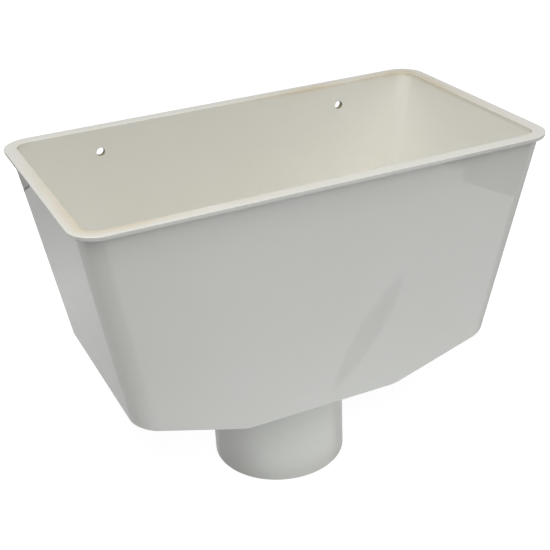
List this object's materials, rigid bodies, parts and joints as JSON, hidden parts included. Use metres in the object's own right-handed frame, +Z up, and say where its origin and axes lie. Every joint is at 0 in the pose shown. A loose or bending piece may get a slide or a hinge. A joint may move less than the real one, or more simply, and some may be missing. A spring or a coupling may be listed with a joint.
{
  "type": "downpipe hopper head",
  "caption": "Moulded rainwater hopper head: an open basin with leaning walls, a flat rim and a sloping bottom that drains into a round spigot, with screw holes in its upright back wall.",
  "frame": {"origin": "on the axis of the outlet spigot, at its lower end", "axes": "+X along the width, +Y out of the back wall towards the building, +Z up the outlet's axis to the open mouth"},
  "size_m": [0.225, 0.126, 0.175],
  "materials": {
    "pale_plastic": "smooth moulded satin gloss, off-white"
  },
  "bodies": {
    "root": {"hopper": "pale_plastic"}
  },
  "joints": []
}
